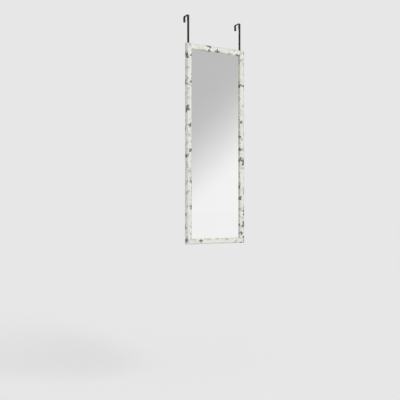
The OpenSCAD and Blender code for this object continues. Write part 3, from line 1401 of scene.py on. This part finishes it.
@dataclass
class Studio:
    """Plain soft light, a pale floor and a pale surrounding that the mirror can show.

    The surrounding is even for the light and for the camera. In mirrors it is white up to the
    horizon and turns grey above it, along a slanting border straight ahead of the photograph's
    mirrored view, as the photograph shows it.

    Attributes:
        turn: The camera's turn from the straight-on view, in degrees.
        floor_z: The height of the floor under the door.
        floor_size: The side of the floor.
        floor_pale: The colour of the floor where it is palest.
        floor_mottled: Its colour where it is darkest.
        floor_grain: The size of its largest mottles.
        ambient: The surrounding's strength on everything that isn't a mirror.
        backdrop: The surrounding's strength as the camera sees it.
        floor_lift: What the floor adds for the camera, to match the surrounding there.
        floor_glow: What it adds in mirrors, for the same reason.
        key: The lamp's strength.
        key_from: The direction that the lamp shines from.
        key_spread: The lamp's angular size, in degrees.
        room: What mirrors show at heights above the horizon, as pairs of height and strength.
        slant: How much lower the grey starts for each step to the left.
        slant_span: From where to where sideways the border slants.
        slant_end: Where the slant has died away again.
    """

    turn: float
    floor_z: float = -2.03
    floor_size: float = 160.0
    floor_pale: Colour = (0.99, 0.99, 0.99)
    floor_mottled: Colour = (0.97, 0.97, 0.97)
    floor_grain: float = 1.5
    ambient: float = 0.53
    backdrop: float = 0.80
    floor_lift: float = 0.049
    floor_glow: float = 0.185
    key: float = 1.12
    key_from: Place = (0.35, -0.70, 0.62)
    key_spread: float = 35.0
    room: tuple[Spot, ...] = (
        (0.0, 0.955),
        (0.03, 0.908),
        (0.055, 0.815),
        (0.082, 0.745),
        (0.116, 0.63),
        (0.151, 0.56),
        (0.19, 0.535),
    )
    slant: float = 0.98
    slant_span: Spot = (-0.02, 0.08)
    slant_end: float = 0.35

    def build(self) -> None:
        """Adds the floor, the lamp and the surrounding, and sets how colours are shown."""
        bpy.context.scene.view_settings.view_transform = "Standard"
        self.lay_floor()
        self.hang_lamp()
        self.surround()

    def lay_floor(self) -> None:
        """Lays a wide pale floor that keeps the mirror's shadow."""
        bpy.ops.mesh.primitive_plane_add(size=self.floor_size, location=(0.0, 0.0, self.floor_z))
        floor = bpy.context.object
        floor.name = "studio_floor"
        settle(floor)
        material, graph, shader = new_material("studio_floor")
        mottle = graph.noise(graph.object_place(), self.floor_grain, detail=4.0)
        plain = graph.mix(graph.spread(mottle, WIDE), self.floor_pale, self.floor_mottled)
        shown = graph.seen().or_more(graph.mirrored())
        glow = graph.seen() * self.floor_lift + graph.mirrored() * self.floor_glow
        dull = {"Roughness": 1.0, "Specular IOR Level": 0.0}
        glowing = {"Emission Color": WHITE, "Emission Strength": glow}
        graph.feed_all(shader, {"Base Color": graph.mix(shown, plain, WHITE), **dull, **glowing})
        floor.data.materials.append(material)

    def hang_lamp(self) -> None:
        """Adds one wide distant lamp, high in front and to the right."""
        data = bpy.data.lights.new("key_light", "SUN")
        data.energy = self.key
        data.angle = math.radians(self.key_spread)
        lamp = bpy.data.objects.new("key_light", data)
        lamp.rotation_euler = (-Vector(self.key_from)).to_track_quat("-Z", "Y").to_euler()
        bpy.context.scene.collection.objects.link(lamp)

    def level(self, graph: Graph, direction: Socket) -> Signal:
        """How high above the slanting border a direction lies.

        Args:
            graph: The surrounding's nodes.
            direction: The direction.

        Returns:
            The height, from about -1 to 1.
        """
        _, _, height = graph.split(direction)
        turn = math.radians(self.turn)
        sideways = graph.dot(direction, (math.cos(turn), math.sin(turn), 0.0))
        start, reach = self.slant_span
        lean = graph.math("MINIMUM", graph.math("MAXIMUM", sideways, start), reach)
        fade = graph.spread(abs(sideways), (reach, self.slant_end), (1.0, 0.0))
        return height - lean * fade * self.slant

    def surround(self) -> None:
        """Builds the surrounding's light, and what the camera and mirrors see of it."""
        world = bpy.data.worlds.new("studio")
        world.use_nodes = True
        bpy.context.scene.world = world
        graph = Graph(world.node_tree)
        background = world.node_tree.nodes["Background"]
        direction = graph.node("ShaderNodeTexCoord").outputs["Generated"]
        low, high = self.room[0][0], self.room[-1][0]
        ramp = graph.node("ShaderNodeValToRGB")
        ramp.color_ramp.interpolation = "B_SPLINE"
        graph.feed(ramp.inputs[0], (self.level(graph, direction) - low) / (high - low))
        stops = ramp.color_ramp.elements
        while len(stops) < len(self.room):
            stops.new(1.0)
        for stop, (height, strength) in zip(stops, self.room):
            stop.position = (height - low) / (high - low)
            stop.color = (strength, strength, strength, 1.0)
        lit = graph.mix(graph.mirrored(), (self.ambient,) * 3, ramp.outputs[0])
        shown = graph.mix(graph.seen(), lit, (self.backdrop,) * 3)
        graph.feed(background.inputs["Color"], shown)


# ---- The frame --------------------------------------------------------------------------------


@dataclass(frozen=True)
class Section:
    """The moulding's section, measured inwards from its outer side and forwards from its back.

    Attributes:
        width: The width of its front.
        thick: Its thickness.
        rebate_w: The width of the rebate.
        rebate_d: The depth of the rebate.
        shoulder_r: The radius of the outer front edge.
        lip_r: The radius of the front edge round the opening.
        back_chamfer: The chamfer of the outer back edge.
        seam: The chamfer of the mitres' edges, which makes the joint show as a fine line.
    """

    width: float
    thick: float
    rebate_w: float
    rebate_d: float
    shoulder_r: float = 7 * MM
    lip_r: float = 1.5 * MM
    back_chamfer: float = 1 * MM
    seam: float = 0.2 * MM

    @classmethod
    def measured(cls) -> "Section":
        """Reads the section off the bottom rail and the glass.

        Returns:
            The section.
        """
        low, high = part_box(Length.BOTTOM.node)
        glass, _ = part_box("mirror_glass")
        size, behind = high - low, high - glass
        return cls(width=size.z, thick=size.y, rebate_w=behind.z, rebate_d=behind.y)

    @property
    def land(self) -> float:
        """The width of the moulding behind the rebate's step."""
        return self.width - self.rebate_w

    def from_shoulder(self, inward: float, forward: float) -> Spot:
        """The steps outwards and forwards from the centre of the shoulder's rounding."""
        return self.shoulder_r - inward, forward - self.thick + self.shoulder_r

    def from_lip(self, inward: float, forward: float) -> Spot:
        """The steps inwards and forwards from the centre of the lip's rounding."""
        return inward - self.width + self.lip_r, forward - self.thick + self.lip_r

    def is_printed(self, inward: float, forward: float) -> bool:
        """Says whether a point of the section lies on the printed foil.

        Args:
            inward: The distance from the outer side.
            forward: The distance from the back.

        Returns:
            True on the side, the front, the roundings and the inner side before the rebate.
        """
        margin = self.seam
        flat = inward < margin or forward > self.thick - margin
        inner = inward > self.width - margin and forward > self.rebate_d - NEAR
        chamfer = inward + forward < self.back_chamfer + margin
        shoulder, lip = self.from_shoulder(inward, forward), self.from_lip(inward, forward)
        on_shoulder = min(shoulder) > 0 and math.hypot(*shoulder) > self.shoulder_r - margin
        on_lip = min(lip) > 0 and math.hypot(*lip) > self.lip_r - margin
        return flat or inner or chamfer or on_shoulder or on_lip

    def unrolled(self, inward: float, forward: float) -> float:
        """Measures how far round the moulding a point of the section lies.

        Args:
            inward: The distance from the outer side.
            forward: The distance from the back.

        Returns:
            The distance along the foil, in metres, with 0 where the shoulder starts.
        """
        quarter = math.pi / 2
        front_at = self.shoulder_r * quarter
        lip_at = front_at + self.width - self.lip_r - self.shoulder_r
        shoulder, lip = self.from_shoulder(inward, forward), self.from_lip(inward, forward)
        if min(shoulder) > 0:
            return self.shoulder_r * math.atan2(shoulder[1], shoulder[0])
        if min(lip) > 0:
            return lip_at + self.lip_r * math.atan2(lip[0], lip[1])
        if inward > self.width - self.seam:
            return lip_at + self.lip_r * quarter - lip[1]
        return front_at - shoulder[0] if lip[1] > 0 else shoulder[1]


@dataclass
class Moulding:
    """The four mitred lengths of moulding, and the V-nails that hold their corners.

    A length is modelled along X round the origin, with its outer side down and its back at y = 0.

    Attributes:
        foil: The finish of the printed faces.
        board: The finish of the bare back and of the hairlines at the mitres.
        steel: The finish of the V-nails.
        nail_arm: The length of a V-nail's arms.
        nail_t: The thickness of a V-nail.
        nails: The number of V-nails at a corner.
        bare: How far from a mitre the foil ends.
        button_hole: The radius and depth of the hole for a turn button's screw.
        strap_hole: The radius and depth of the hole for a strap's screw.
        section: The moulding's section.
        span: The frame's width and height.
        centre: The middle of the frame's back.
    """

    foil: Finish
    board: Finish
    steel: Finish
    nail_arm: float = 4.5 * MM
    nail_t: float = 0.6 * MM
    nails: int = 2
    bare: float = 0.3 * MM
    button_hole: Spot = (1.55 * MM, 10 * MM)
    strap_hole: Spot = (1.8 * MM, 14 * MM)
    section: Section = field(init=False)
    span: Vector = field(init=False)
    centre: Vector = field(init=False)

    def __post_init__(self) -> None:
        """Reads the frame's outline and the moulding's section from the nodes."""
        low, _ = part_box(Length.BOTTOM.node)
        _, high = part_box(Length.TOP.node)
        self.section = Section.measured()
        self.span = high - low
        self.centre = Vector(((low.x + high.x) / 2, high.y, (low.z + high.z) / 2))

    def blank(self, name: str, long: float, across: float) -> Piece:
        """Models one length of moulding.

        Args:
            name: Its name.
            long: Its length along X, from tip to tip.
            across: The frame's span from this length's outer side to the other side.

        Returns:
            The length, mitred at both ends.
        """
        section = self.section
        outer, front = -across / 2, -section.thick
        land = outer + section.land
        bar = add_box(name, (-long / 2, front, outer), (long / 2, 0.0, land))
        slice_at(bar, (0.0, -section.rebate_d, 0.0), (0.0, 1.0, 0.0))
        inner = lies_at(z=land)
        before_rebate: Test = lambda face: inner(face) and middle(face).y < -section.rebate_d
        push_faces(bar, before_rebate, (0.0, 0.0, section.rebate_w))
        bevel_edges(bar, lies_at(y=front, z=outer), section.shoulder_r, segments=12)
        bevel_edges(bar, lies_at(y=front, z=outer + section.width), section.lip_r, segments=5)
        bevel_edges(bar, lies_at(y=0.0, z=outer), section.back_chamfer, segments=1)
        for end in (-1, 1):
            slice_at(bar, (end * long / 2, 0.0, outer), (-end, 0.0, -1.0), drop=True)
        bevel_edges(bar, self.mitre_rim(long, outer), section.seam, segments=1)
        return bar

    def mitre_rim(self, long: float, outer: float) -> Test:
        """Makes a test for the edges of both mitres that show from the front or the side.

        Args:
            long: The length of the moulding, from tip to tip.
            outer: The z of its outer side.

        Returns:
            The test, which takes an edge.
        """
        on_mitre: Callable[[Vector], bool] = lambda place: (
            abs(long / 2 - abs(place.x) - (place.z - outer)) < NEAR
            and self.section.is_printed(place.z - outer, -place.y)
        )
        return lambda edge: all(on_mitre(corner.co) for corner in edge.verts)

    def wrap(self, bar: Piece, length: Length) -> None:
        """Lays the foil round a finished length and leaves its back and the mitres' edges bare.

        Args:
            bar: The length, in its place.
            length: Which of the four it is.
        """
        long, _ = self.spans(length)
        section, mesh = self.section, bar.data
        mesh.materials.clear()
        for finish in (self.foil, self.board):
            mesh.materials.append(finish.material())
        wrap = mesh.uv_layers.new(name=WRAP_UV)
        for face in mesh.polygons:
            along, inward, forward = self.within(length, face.center)
            at_mitre = long / 2 - abs(along) - inward < self.bare
            printed = section.is_printed(inward, forward) and not at_mitre
            face.material_index = 0 if printed else 1
            for loop in face.loop_indices:
                corner = mesh.vertices[mesh.loops[loop].vertex_index].co
                along, inward, forward = self.within(length, corner)
                wrap.data[loop].uv = (along + length.roll, section.unrolled(inward, forward))

    def spans(self, length: Length) -> Spot:
        """A length's own span and the span across it."""
        return (self.span.z, self.span.x) if length.upright else (self.span.x, self.span.z)

    def within(self, length: Length, point: Vector) -> Place:
        """A point's place along a length, inwards from its side and forwards from its back."""
        place = Matrix.Rotation(-math.radians(length.turn), 3, "Y") @ (point - self.centre)
        return place.x, place.z + self.spans(length)[1] / 2, -place.y

    def nail(self, name: str, deep: float, high: float) -> Piece:
        """Models one V-nail with its corner at the origin and its arms along +X and +Z.

        Args:
            name: Its name.
            deep: The y of its cutting edge.
            high: The y of its driven edge.

        Returns:
            The nail.
        """
        nail = add_box(name, (0.0, deep, 0.0), (self.nail_arm, high, self.nail_t))
        slice_at(nail, (self.nail_t, 0.0, 0.0), (1.0, 0.0, 0.0))
        inner = lies_at(z=self.nail_t)
        foot: Test = lambda face: inner(face) and middle(face).x < self.nail_t
        push_faces(nail, foot, (0.0, 0.0, self.nail_arm - self.nail_t))
        return nail

    def all_nails(self, name: str, deep: float, high: float) -> Piece:
        """Models the V-nails of all four corners as one object.

        Args:
            name: Its name.
            deep: The y of the nails' cutting edges.
            high: The y of their driven edges.

        Returns:
            The nails, in their places.
        """
        pattern = self.nail("nail_pattern", deep, high)
        nails = []
        for quarter, (side, end) in enumerate(((-1, -1), (-1, 1), (1, 1), (1, -1))):
            for rank in range(1, self.nails + 1):
                inset = rank * self.section.land / (self.nails + 1)
                x = self.centre.x + side * (self.span.x / 2 - inset)
                z = self.centre.z + end * (self.span.z / 2 - inset)
                nail = copied(pattern, f"nail_{quarter}_{rank}")
                nails.append(put(nail, (x, 0.0, z), 90.0 * quarter))
        bpy.data.objects.remove(pattern)
        return joined(nails, name)

    def drill(self, bar: Piece, spots: Sequence[Spot], hole: Spot) -> None:
        """Drills the round holes that lie within a length, from its back.

        Args:
            bar: The length, in its place.
            spots: The x and z of all the holes.
            hole: Their radius and depth.
        """
        radius, depth = hole
        xs = [vertex.co.x for vertex in bar.data.vertices]
        zs = [vertex.co.z for vertex in bar.data.vertices]
        for x, z in spots:
            if min(xs) < x < max(xs) and min(zs) < z < max(zs):
                start = (x, self.centre.y - depth, z)
                combine(bar, add_rod("drill", start, radius, depth + PAST, sides=32))

    def build(self) -> None:
        """Models the four lengths and the V-nails, dresses them and puts them in their places."""
        nail_low, nail_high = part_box("corner_nails")
        rail = self.blank("rail_pattern", self.span.x, self.span.z)
        stile = self.blank("stile_pattern", self.span.z, self.span.x)
        for length in Length:
            pattern = stile if length.upright else rail
            bar = put(copied(pattern, f"{length.node}_moulding"), self.centre, length.turn)
            combine(bar, self.all_nails("nail_slots", nail_low.y, self.centre.y + PAST))
            self.drill(bar, [button.hole for button in Button], self.button_hole)
            self.drill(bar, strap_screws(), self.strap_hole)
            self.wrap(bar, length)
            shade(bar)
            mount(bar, length.node, FRAME_BODY)
        bpy.data.objects.remove(rail)
        bpy.data.objects.remove(stile)
        nails = self.all_nails("corner_v_nails", nail_low.y, nail_high.y)
        self.steel.coat(nails)
        mount(nails, "corner_nails", FRAME_BODY)


# ---- Glass and back ---------------------------------------------------------------------------


@dataclass
class GlassAndBack:
    """The mirror glass, the packing sheet and the hardboard in the frame's rebate.

    Attributes:
        silver: The finish of the glass's front.
        edge: The finish of its edges.
        paint: The finish of its back.
        card: The finish of the packing sheet.
        board: The finish of the back.
        arris: The width of the ground arris round the glass.
        worn_edge: The rounding of the sheets' cut edges.
    """

    silver: Finish
    edge: Finish
    paint: Finish
    card: Finish
    board: Finish
    arris: float = 0.5 * MM
    worn_edge: float = 0.3 * MM

    def glass(self) -> None:
        """Models the glass with its ground edges, and silvers its front."""
        plate = add_box("mirror_plate", *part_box("mirror_glass"))
        soften(plate, self.arris, segments=1)
        for finish in (self.silver, self.edge, self.paint):
            plate.data.materials.append(finish.material())
        for face in plate.data.polygons:
            facing = face.normal.y
            face.material_index = 1 if abs(facing) < SQUARE else 0 if facing < 0 else 2
        mount(plate, "mirror_glass", FRAME_BODY)

    def sheet(self, name: str, node: str, finish: Finish, slot: str) -> None:
        """Models one of the sheets behind the glass, with slightly worn edges.

        Args:
            name: The sheet's name.
            node: Its node.
            finish: Its finish.
            slot: Not used.
        """
        sheet = add_box(name, *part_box(node))
        soften(sheet, self.worn_edge)
        finish.coat(sheet)
        mount(sheet, node, FRAME_BODY)

    def build(self) -> None:
        """Models what the rebate holds, from the front to the back."""
        self.glass()
        self.sheet("packing_card_sheet", "packing_sheet", self.card, "packing_card")
        self.sheet("hardboard_back", "backing_board", self.board, "hardboard")


# ---- Hangers ----------------------------------------------------------------------------------


@dataclass
class Hangers:
    """The two bent steel straps with the foam pads inside their hooks.

    The left strap is modelled in its place, and the right one is a copy of it.

    Attributes:
        steel: The finish of the straps.
        foam: The finish of the pads.
        slot_ends: The lowest and highest z of the slot.
        slot_w: The width of the slot.
        bend_r: The inner radius of the bends.
        gap: The hair's breadth between the strap and the frame's back, which it slides along.
        tip_r: The rounding of the strap's tip and of the pads' corners.
        soft_edge: The rounding of the strap's edges.
        pad_edge: The rounding of the pads' cut edges.
    """

    steel: Finish
    foam: Finish
    slot_ends: Spot = (-262.5 * MM, -177.5 * MM)
    slot_w: float = 4 * MM
    bend_r: float = 4 * MM
    gap: float = 0.03 * MM
    tip_r: float = 2 * MM
    soft_edge: float = 0.22 * MM
    pad_edge: float = 0.35 * MM

    def bend(self, strap: Piece, end: Test, centre: Place) -> None:
        """Carries the end face of a strap a quarter turn round a bend.

        Args:
            strap: The strap.
            end: Finds its end face.
            centre: The centre of the bend.
        """
        with edit_mode(strap):
            pick(strap, Pick.FACE, end)
            quarter = math.radians(90)
            bpy.ops.mesh.spin(steps=8, angle=quarter, center=centre, axis=(1.0, 0.0, 0.0))

    def slot_cutter(self, slot_x: float, back: float, front: float) -> Piece:
        """Models the shape of the slot: a box whose ends are round.

        Args:
            slot_x: The x of the slot's middle.
            back: Where the shape starts in y.
            front: Where it ends in y.

        Returns:
            The shape to cut with.
        """
        radius = self.slot_w / 2
        low = Vector((slot_x - radius, back, self.slot_ends[0]))
        high = Vector((slot_x + radius, front, self.slot_ends[1]))
        cutter = add_box("slot_cutter", low, high)
        round_corners(cutter, (low.x, high.x), self.slot_ends, radius - NEAR, segments=8)
        return cutter

    def strap(self) -> Piece:
        """Models the left strap: a slotted leg, the web over the door and the leg behind it.

        Returns:
            The strap, in its place.
        """
        low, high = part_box("left_strap")
        tip_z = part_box("left_tip_pad")[0].z
        strap_x = (low.x + high.x) / 2
        radius = (high.x - low.x) / 2
        thick = high.z
        inner, outer = low.y + thick, high.y - thick
        bend_z = -self.bend_r
        foot = (low.x, low.y + self.gap, low.z)
        strap = add_box("left_hook_strap", foot, (high.x, inner, bend_z))
        round_corners(strap, (low.x, high.x), (low.z,), radius - NEAR, segments=12)
        self.bend(strap, lies_at(z=bend_z), (strap_x, inner + self.bend_r, bend_z))
        reach = outer - inner - 2 * self.bend_r
        push_faces(strap, lies_at(y=inner + self.bend_r), (0.0, reach, 0.0))
        self.bend(strap, lies_at(y=outer - self.bend_r), (strap_x, outer - self.bend_r, bend_z))
        ends = lies_at(z=bend_z)
        rear_end: Test = lambda face: ends(face) and middle(face).y > outer - NEAR
        push_faces(strap, rear_end, (0.0, 0.0, tip_z - bend_z))
        round_corners(strap, (low.x, high.x), (tip_z,), self.tip_r, segments=5)
        combine(strap, self.slot_cutter(strap_x, low.y - PAST, inner + PAST))
        tidy(strap)
        soften(strap, self.soft_edge, angle=50.0)
        return strap

    def pad(self, side: Side, place: PadPlace) -> None:
        """Models one foam pad with its cut edges a little rounded, and lets it ride on its hanger.

        Args:
            side: The hanger's side.
            place: Where in the hook the pad lies.
        """
        node = f"{side.word}_{place.value}_pad"
        low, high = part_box(node)
        pad = add_box(f"{node}_foam", low, high)
        round_corners(pad, (low.x, high.x), (low.z, high.z), self.tip_r, segments=5)
        soften(pad, self.pad_edge, segments=3)
        self.foam.coat(pad)
        mount(pad, node, f"{side.word}_hanger")

    def build(self) -> None:
        """Models both straps and their pads and lets them ride on the hangers' bodies."""
        left = self.strap()
        self.steel.coat(left)
        low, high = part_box("left_strap")
        right = put(copied(left, "right_hook_strap"), (-(low.x + high.x), 0.0, 0.0))
        for side, strap in ((Side.LEFT, left), (Side.RIGHT, right)):
            mount(strap, f"{side.word}_strap", f"{side.word}_hanger")
            for place in PadPlace:
                self.pad(side, place)


# ---- Fasteners and bumpers --------------------------------------------------------------------


@dataclass
class TurnButtons:
    """The eight pressed turn buttons that hold the back in.

    One is modelled with its hole at the origin and its tip at +X, and each node gets a copy.

    Attributes:
        zinc: The finish of the buttons.
        hole_r: The radius of the screw hole.
        rib_w: The width of the raised rib.
        rib_h: How far the rib stands up.
        rib_from: Where the rib starts.
        soft_edge: The rounding that the press leaves on the edges.
    """

    zinc: Finish
    hole_r: float = 1.58 * MM
    rib_w: float = 3 * MM
    rib_h: float = 0.5 * MM
    rib_from: float = 3.4 * MM
    soft_edge: float = 0.18 * MM

    def lozenge(self, name: str, low: Vector, high: Vector) -> Piece:
        """Models a flat bar along X with full round ends.

        Args:
            name: Its name.
            low: Its lowest corner.
            high: Its highest corner.

        Returns:
            The bar.
        """
        bar = add_box(name, low, high)
        radius = (high.z - low.z) / 2 - NEAR
        round_corners(bar, (low.x, high.x), (low.z, high.z), radius, segments=10)
        return bar

    def pattern(self) -> Piece:
        """Models one turn button, with its back at y = 0.

        Returns:
            The button, with its hole at the origin.
        """
        low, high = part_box(Button.LEFT_UPPER.node)
        radius = (high.z - low.z) / 2
        tip = high.x - low.x - radius
        thick = high.y - low.y - self.rib_h
        rib_r = self.rib_w / 2
        rib_low = Vector((self.rib_from, thick / 2, -rib_r))
        rib_high = Vector((tip - radius + rib_r, thick + self.rib_h, rib_r))
        plate_low, plate_high = Vector((-radius, 0.0, -radius)), Vector((tip, thick, radius))
        button = self.lozenge("button_pattern", plate_low, plate_high)
        combine(button, self.lozenge("rib", rib_low, rib_high), Combine.ADD)
        combine(button, add_rod("bore", (0.0, -PAST, 0.0), self.hole_r, thick + 2 * PAST, sides=40))
        tidy(button)
        soften(button, self.soft_edge, angle=50.0)
        return button

    def build(self) -> None:
        """Puts a copy of the button at each screw and lets it ride on its own body."""
        pattern = self.pattern()
        self.zinc.coat(pattern)
        for button in Button:
            x, z = button.hole
            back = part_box(button.node)[0].y
            plate = put(copied(pattern, f"{button.node}_plate"), (x, back, z), button.turn)
            mount(plate, button.node, button.node)
        bpy.data.objects.remove(pattern)


@dataclass
class Bumpers:
    """The two round rubber feet that keep the frame parallel to the door.

    Attributes:
        rubber: Their finish.
        edge_r: The rounding of the rear rim.
        dish_r: The radius of the shallow dish in the rear face.
        dish_step: The width of the dish's sloping wall.
        dish_d: The depth of the dish.
    """

    rubber: Finish
    edge_r: float = 1.5 * MM
    dish_r: float = 2.6 * MM
    dish_step: float = 0.5 * MM
    dish_d: float = 0.4 * MM

    def foot(self, side: Side) -> None:
        """Models the foot of one side and lets it ride on the frame.

        Args:
            side: The side.
        """
        node = f"{side.word}_bumper"
        low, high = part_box(node)
        centre = (low + high) / 2
        hub = Vector((centre.x, high.y, centre.z))
        radius = (high.z - low.z) / 2
        foot = add_rod(f"{node}_foot", (centre.x, low.y, centre.z), radius, high.y - low.y)
        rear = lies_at(y=high.y)
        with edit_mode(foot):
            pick(foot, Pick.FACE, rear)
            bpy.ops.mesh.inset(thickness=radius - self.dish_r, depth=0.0)
            bpy.ops.mesh.inset(thickness=self.dish_step, depth=-self.dish_d)
        within = radius - self.edge_r / 2
        rim: Test = lambda edge: rear(edge) and (middle(edge) - hub).length > within
        bevel_edges(foot, rim, self.edge_r, segments=6)
        shade(foot)
        self.rubber.coat(foot)
        mount(foot, node, FRAME_BODY)

    def build(self) -> None:
        """Models both feet."""
        for side in Side:
            self.foot(side)


@dataclass
class Screws:
    """The strap screws, their washers and the turn buttons' screws, whose shapes stay.

    Attributes:
        zinc: Their finish.
        nodes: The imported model's nodes by name.
        kept: The names of the nodes that stay.
    """

    zinc: Finish
    nodes: dict[str, Piece]
    kept: tuple[str, ...] = ("strap_screws", "strap_washers", "button_screws")

    def build(self) -> None:
        """Plates the screws and the washers."""
        for name in self.kept:
            self.zinc.coat(self.nodes[name])
            log.info("%s: keeps its shape", name)


def main() -> None:
    """Builds the mirror's looks in order, from the camera to the last screw."""
    logging.basicConfig(level=logging.INFO, format="%(name)s: %(message)s")
    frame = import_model()
    camera = PhotoCamera()
    camera.build()
    Studio(camera.turn).build()
    zinc = PlatedSteel("zinc_plated_steel")
    nail_steel = PlatedSteel(
        "nail_steel", bright=(0.60, 0.60, 0.61), dull=(0.45, 0.45, 0.45), rough=(0.3, 0.5)
    )
    Moulding(PrintedFoil("printed_foil"), RawFibreboard("raw_fibreboard"), nail_steel).build()
    GlassAndBack(
        silver=SilveredGlass("mirror_silver"),
        edge=GlassEdge("ground_glass_edge"),
        paint=BackPaint("mirror_back_paint"),
        card=PackingCard("brown_card"),
        board=Hardboard("screen_hardboard"),
    ).build()
    Hangers(PowderCoat("black_powder_coat"), Foam("black_foam")).build()
    TurnButtons(zinc).build()
    Bumpers(Rubber("grey_black_rubber")).build()
    Screws(zinc, frame["nodes"]).build()


if __name__ == "__main__":
    main()
